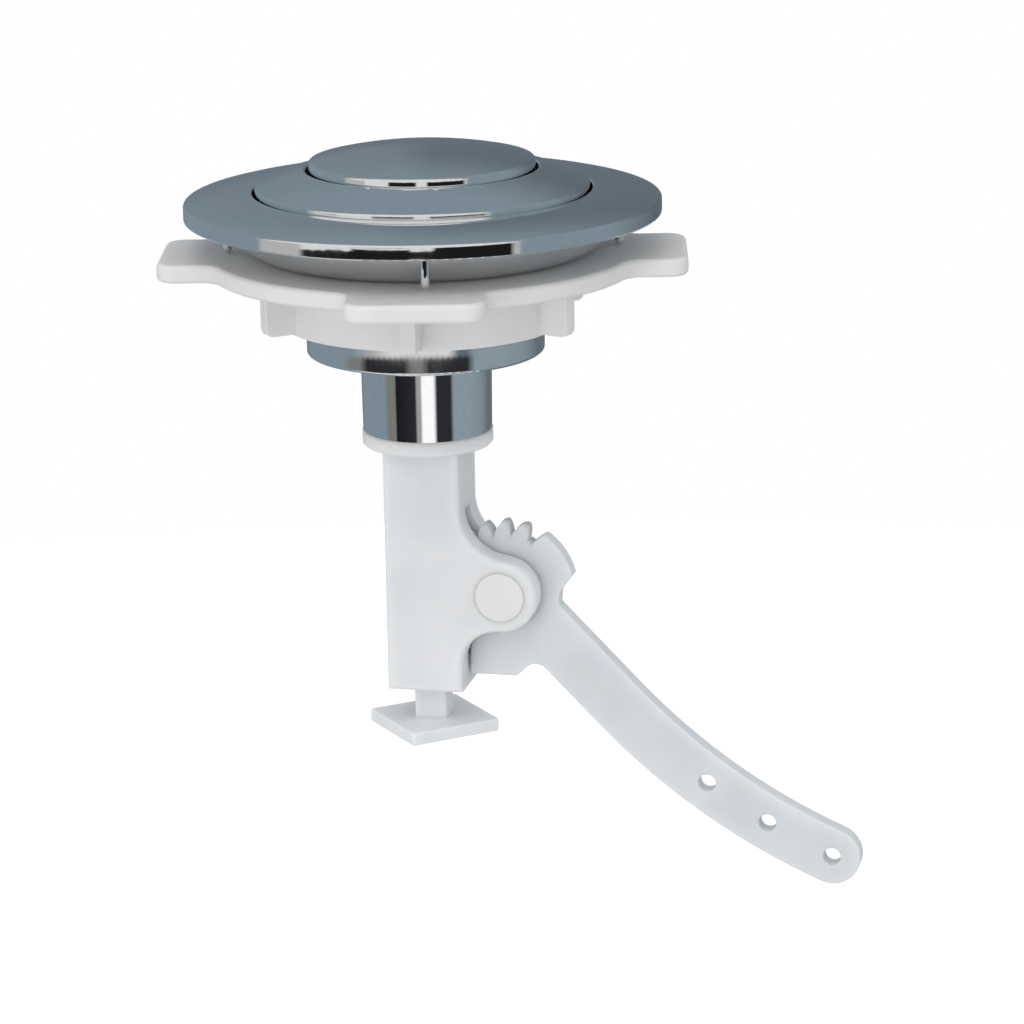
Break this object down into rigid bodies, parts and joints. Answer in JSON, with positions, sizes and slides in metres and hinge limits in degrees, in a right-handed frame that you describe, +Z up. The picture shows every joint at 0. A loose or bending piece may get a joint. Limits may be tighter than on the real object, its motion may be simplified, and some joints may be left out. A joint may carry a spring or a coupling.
{
  "type": "push button cistern actuator",
  "caption": "Round chrome push button for a cistern lid: ring and centre buttons press a rack rod that swings a toothed lever arm, with a threaded neck and a lobed clamp nut.",
  "frame": {"origin": "on the button's axis, on the plane where the dish rests on the cistern lid", "axes": "+Z up along the button's axis, +X towards the lever arm, +Y to the back"},
  "size_m": [0.112, 0.0842, 0.1179],
  "materials": {
    "chrome_plate": "bright chrome on moulded plastic",
    "white_plastic": "satin moulded plastic",
    "milky_plastic": "natural acetal, slightly translucent",
    "spring_steel": "bright spring wire"
  },
  "bodies": {
    "housing": {"bezel_housing": "chrome_plate", "lever_bracket": "milky_plastic", "pivot_pin": "milky_plastic", "return_spring": "spring_steel"},
    "ring": {"ring_cap": "chrome_plate", "ring_sleeve": "milky_plastic", "rack_rod": "milky_plastic", "rod_clip": "spring_steel", "centre_spring": "spring_steel"},
    "centre": {"centre_cap": "chrome_plate", "centre_plunger": "milky_plastic"},
    "lever": {"lever_arm": "milky_plastic"},
    "nut": {"clamp_nut": "white_plastic"}
  },
  "joints": [
    {"name": "ring_press", "type": "slide", "parent": "housing", "child": "ring", "axis": [0, 0, -1], "range_m": [0, 0.006], "stiffness_N_per_m": 1000, "springref_m": -0.006, "deforming": ["return_spring"]},
    {"name": "centre_press", "type": "slide", "parent": "ring", "child": "centre", "axis": [0, 0, -1], "range_m": [0, 0.0028], "stiffness_N_per_m": 200, "springref_m": -0.008, "deforming": ["centre_spring"]},
    {"name": "lever_swing", "type": "hinge", "parent": "housing", "child": "lever", "pos_m": [0.01265, 0, -0.0548], "axis": [0, -1, 0], "range_deg": [0, 34.4]},
    {"name": "nut_travel", "type": "slide", "parent": "housing", "child": "nut", "axis": [0, 0, -1], "range_m": [0, 0.009]}
  ],
  "couplings": [
    {"joint": "lever_swing", "follows": "ring_press", "rad_per_m": 100}
  ]
}
